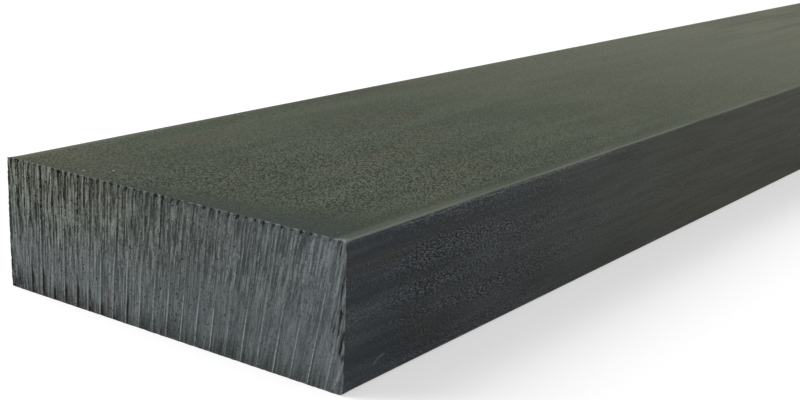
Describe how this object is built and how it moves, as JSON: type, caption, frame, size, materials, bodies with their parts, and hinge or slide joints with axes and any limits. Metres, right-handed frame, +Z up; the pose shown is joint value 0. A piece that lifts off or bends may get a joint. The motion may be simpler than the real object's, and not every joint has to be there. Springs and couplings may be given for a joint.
{
  "type": "metal flat bar",
  "caption": "Length of hot-rolled steel flat bar: a thick rectangular section with slightly rounded long edges, matt mill scale and saw-cut ends, for brackets, frames and base plates.",
  "frame": {"origin": "centre of the underside, the wide face that the bar rests on", "axes": "+X along the bar, +Y across its width, +Z up through its thickness"},
  "size_m": [0.5, 0.08, 0.025],
  "materials": {
    "steel": "matt grey mill scale on the rolled faces, bare saw-cut ends"
  },
  "bodies": {
    "root": {"flat_bar": "steel"}
  },
  "joints": []
}
